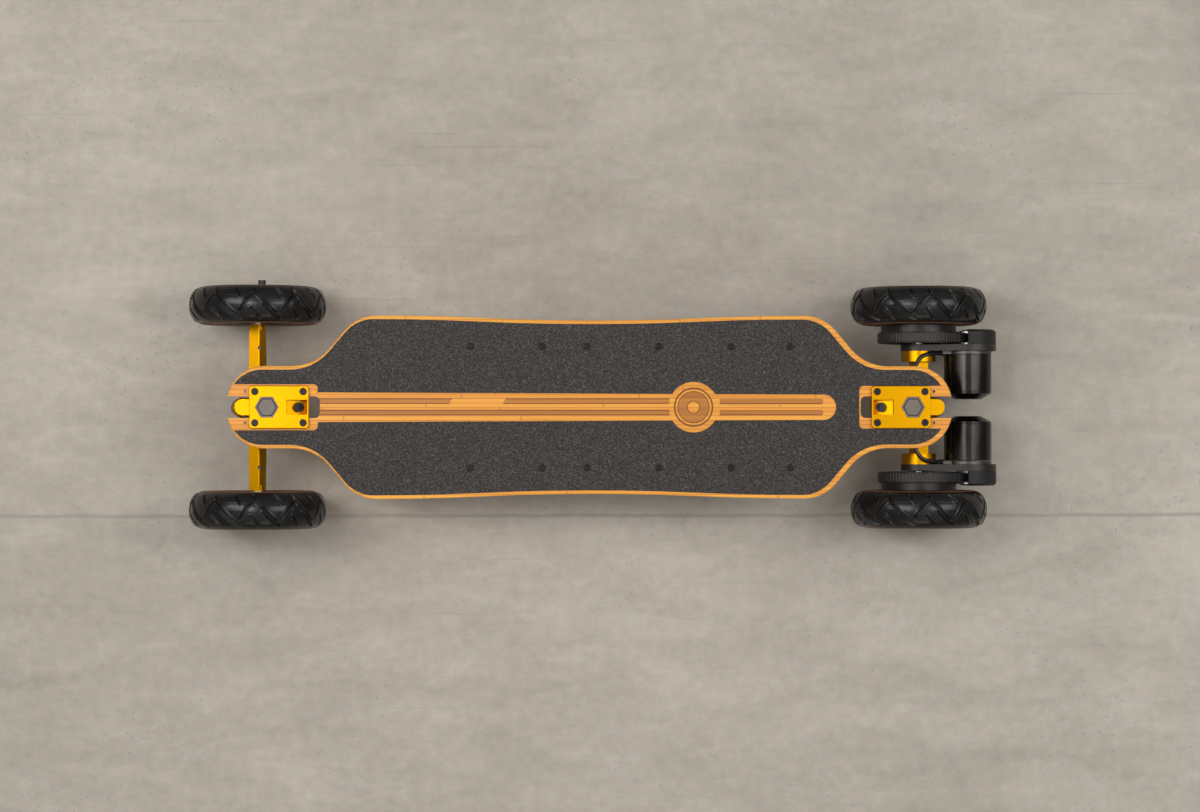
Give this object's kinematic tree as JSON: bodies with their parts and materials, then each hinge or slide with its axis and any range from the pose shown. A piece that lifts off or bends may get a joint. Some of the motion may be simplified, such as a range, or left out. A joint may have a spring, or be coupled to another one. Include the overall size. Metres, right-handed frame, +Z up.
{
  "type": "electric skateboard",
  "caption": "Double-drop longboard with double-kingpin trucks, pneumatic tyres, belt-driven rear wheels, grip tape with a bare wood centre stripe, and underside battery boxes.",
  "frame": {"origin": "centre of the bounding box at ground level, where the four tyres stand", "axes": "+X towards the motor end (rear), +Y to the left of the board with the front at -X taken as seen from above, +Z up from the ground"},
  "size_m": [1.086, 0.3309, 0.182],
  "materials": {
    "bamboo": "oiled bamboo veneer",
    "grip": "coarse grit",
    "gold_metal": "yellow anodised",
    "badge_metal": "satin",
    "black_steel": "blackened",
    "steel": "satin",
    "bearing_steel": "polished",
    "bushing_rubber": "urethane",
    "black_plastic": "fine texture",
    "cover_plastic": "fine texture",
    "hub_plastic": "moulded nylon",
    "pulley_plastic": "moulded nylon",
    "cell_wrap": "shrink sleeve",
    "circuit_board": "solder mask",
    "cable_sheath": "smooth sheath",
    "tyre_rubber": "moulded",
    "tube_rubber": "smooth",
    "belt_rubber": "moulded",
    "arm_metal": "black anodised",
    "motor_metal": "dark anodised",
    "base_metal": "grey anodised"
  },
  "bodies": {
    "board": {"deck": "bamboo", "grip_tape": "grip", "deck_screws": "black_steel", "front_baseplate": "gold_metal", "rear_baseplate": "gold_metal", "baseplate_badges": "badge_metal", "truck_bolts": "black_steel", "upper_kingpins": "black_steel", "front_upper_bushings": "bushing_rubber", "rear_upper_bushings": "bushing_rubber", "rear_enclosure": "black_plastic", "front_enclosure": "black_plastic", "cable_glands": "cable_sheath", "battery_cells": "cell_wrap", "control_boards": "circuit_board", "charge_socket": "black_plastic", "left_inner_lead": "cable_sheath", "right_inner_lead": "cable_sheath"},
    "power_button": {"power_button": "steel"},
    "charge_cap": {"charge_cap": "bushing_rubber"},
    "front_carriage": {"front_carriage": "gold_metal", "front_lower_kingpin": "black_steel", "front_lower_bushings": "bushing_rubber"},
    "rear_carriage": {"rear_carriage": "gold_metal", "rear_lower_kingpin": "black_steel", "rear_lower_bushings": "bushing_rubber", "cable_clips": "black_plastic"},
    "front_hanger": {"front_hanger": "gold_metal", "front_axle": "steel", "front_wheel_bearings": "bearing_steel"},
    "rear_hanger": {"rear_hanger": "gold_metal", "rear_axle": "steel", "rear_wheel_bearings": "bearing_steel", "motor_mounts": "arm_metal", "motor_stators": "base_metal", "mount_screws": "black_steel", "belt_covers": "cover_plastic", "drive_belts": "belt_rubber", "left_outer_lead": "cable_sheath", "right_outer_lead": "cable_sheath"},
    "front_left_wheel": {"front_left_tyre": "tyre_rubber", "front_left_hub": "hub_plastic", "front_left_inner_tube": "tube_rubber"},
    "front_right_wheel": {"front_right_tyre": "tyre_rubber", "front_right_hub": "hub_plastic", "front_right_inner_tube": "tube_rubber"},
    "rear_left_wheel": {"rear_left_tyre": "tyre_rubber", "rear_left_hub": "hub_plastic", "rear_left_inner_tube": "tube_rubber", "left_wheel_pulley": "pulley_plastic"},
    "rear_right_wheel": {"rear_right_tyre": "tyre_rubber", "rear_right_hub": "hub_plastic", "rear_right_inner_tube": "tube_rubber", "right_wheel_pulley": "pulley_plastic"},
    "left_rotor": {"left_rotor_can": "motor_metal", "left_motor_shaft": "steel", "left_motor_pulley": "steel"},
    "right_rotor": {"right_rotor_can": "motor_metal", "right_motor_shaft": "steel", "right_motor_pulley": "steel"}
  },
  "joints": [
    {"name": "front_upper_steer", "type": "hinge", "parent": "board", "child": "front_carriage", "pos_m": [-0.40305, 0, 0.1235], "axis": [-0.9397, 0, 0.342], "range_deg": [-12, 12], "stiffness_Nm_per_rad": 80, "deforming": ["front_upper_bushings"]},
    {"name": "front_lower_steer", "type": "hinge", "parent": "front_carriage", "child": "front_hanger", "pos_m": [-0.45202, 0, 0.09099], "axis": [-0.9397, 0, 0.342], "range_deg": [-12, 12], "stiffness_Nm_per_rad": 80, "deforming": ["front_lower_bushings"]},
    {"name": "rear_upper_steer", "type": "hinge", "parent": "board", "child": "rear_carriage", "pos_m": [0.38905, 0, 0.1235], "axis": [0.9397, 0, 0.342], "range_deg": [-12, 12], "stiffness_Nm_per_rad": 80, "deforming": ["rear_upper_bushings", "left_inner_lead", "right_inner_lead"]},
    {"name": "rear_lower_steer", "type": "hinge", "parent": "rear_carriage", "child": "rear_hanger", "pos_m": [0.43802, 0, 0.09099], "axis": [0.9397, 0, 0.342], "range_deg": [-12, 12], "stiffness_Nm_per_rad": 80, "deforming": ["rear_lower_bushings", "left_outer_lead", "right_outer_lead"]},
    {"name": "front_left_spin", "type": "hinge", "parent": "front_hanger", "child": "front_left_wheel", "pos_m": [-0.452, 0.1367, 0.091], "axis": [0, 1, 0], "continuous": true},
    {"name": "front_right_spin", "type": "hinge", "parent": "front_hanger", "child": "front_right_wheel", "pos_m": [-0.452, -0.1367, 0.091], "axis": [0, 1, 0], "continuous": true},
    {"name": "rear_left_spin", "type": "hinge", "parent": "rear_hanger", "child": "rear_left_wheel", "pos_m": [0.438, 0.1367, 0.091], "axis": [0, 1, 0], "continuous": true},
    {"name": "rear_right_spin", "type": "hinge", "parent": "rear_hanger", "child": "rear_right_wheel", "pos_m": [0.438, -0.1367, 0.091], "axis": [0, 1, 0], "continuous": true},
    {"name": "left_rotor_spin", "type": "hinge", "parent": "rear_hanger", "child": "left_rotor", "pos_m": [0.5047, 0.046, 0.091], "axis": [0, 1, 0], "continuous": true},
    {"name": "right_rotor_spin", "type": "hinge", "parent": "rear_hanger", "child": "right_rotor", "pos_m": [0.5047, -0.046, 0.091], "axis": [0, 1, 0], "continuous": true},
    {"name": "power_press", "type": "slide", "parent": "board", "child": "power_button", "axis": [0, 1, 0], "range_m": [0, 0.0012], "stiffness_N_per_m": 400},
    {"name": "cap_hinge", "type": "hinge", "parent": "board", "child": "charge_cap", "pos_m": [-0.147, -0.077, 0.135], "axis": [-1, 0, 0], "range_deg": [0, 80]}
  ],
  "couplings": [
    {"joint": "left_rotor_spin", "follows": "rear_left_spin", "ratio": 4.25},
    {"joint": "right_rotor_spin", "follows": "rear_right_spin", "ratio": 4.25}
  ]
}
